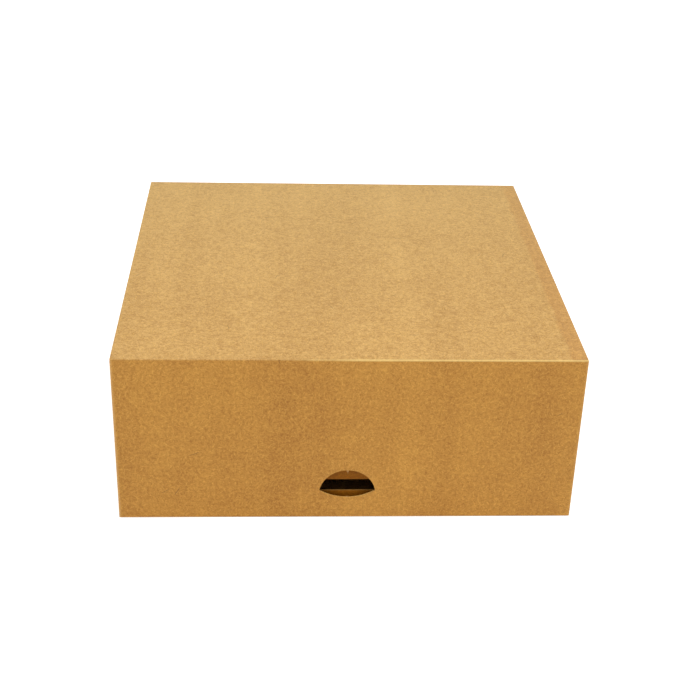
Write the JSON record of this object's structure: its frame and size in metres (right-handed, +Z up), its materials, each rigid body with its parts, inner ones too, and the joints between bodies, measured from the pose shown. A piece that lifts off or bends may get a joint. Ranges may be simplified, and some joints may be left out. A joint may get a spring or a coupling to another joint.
{
  "type": "cardboard tray box",
  "caption": "Square kraft board box: a glued tray with a lid hinged at the back and a full-height front flap with a finger hole over a slotted front wall.",
  "frame": {"origin": "middle of the closed box's footprint, on the surface that the box stands on", "axes": "+Z up, -Y towards the front flap, +Y towards the lid's hinge, +X to the right seen from the front"},
  "size_m": [0.254, 0.2578, 0.101],
  "materials": {
    "kraft_board": "matte"
  },
  "bodies": {
    "tray": {"tray": "kraft_board"},
    "lid": {"lid": "kraft_board"},
    "front_flap": {"front_flap": "kraft_board"}
  },
  "joints": [
    {"name": "lid_hinge", "type": "hinge", "parent": "tray", "child": "lid", "pos_m": [0, 0.1285, 0.1006], "axis": [-1, 0, 0], "range_deg": [0, 180]},
    {"name": "front_flap_hinge", "type": "hinge", "parent": "lid", "child": "front_flap", "pos_m": [0, -0.1285, 0.1006], "axis": [-1, 0, 0], "range_deg": [0, 90]}
  ]
}
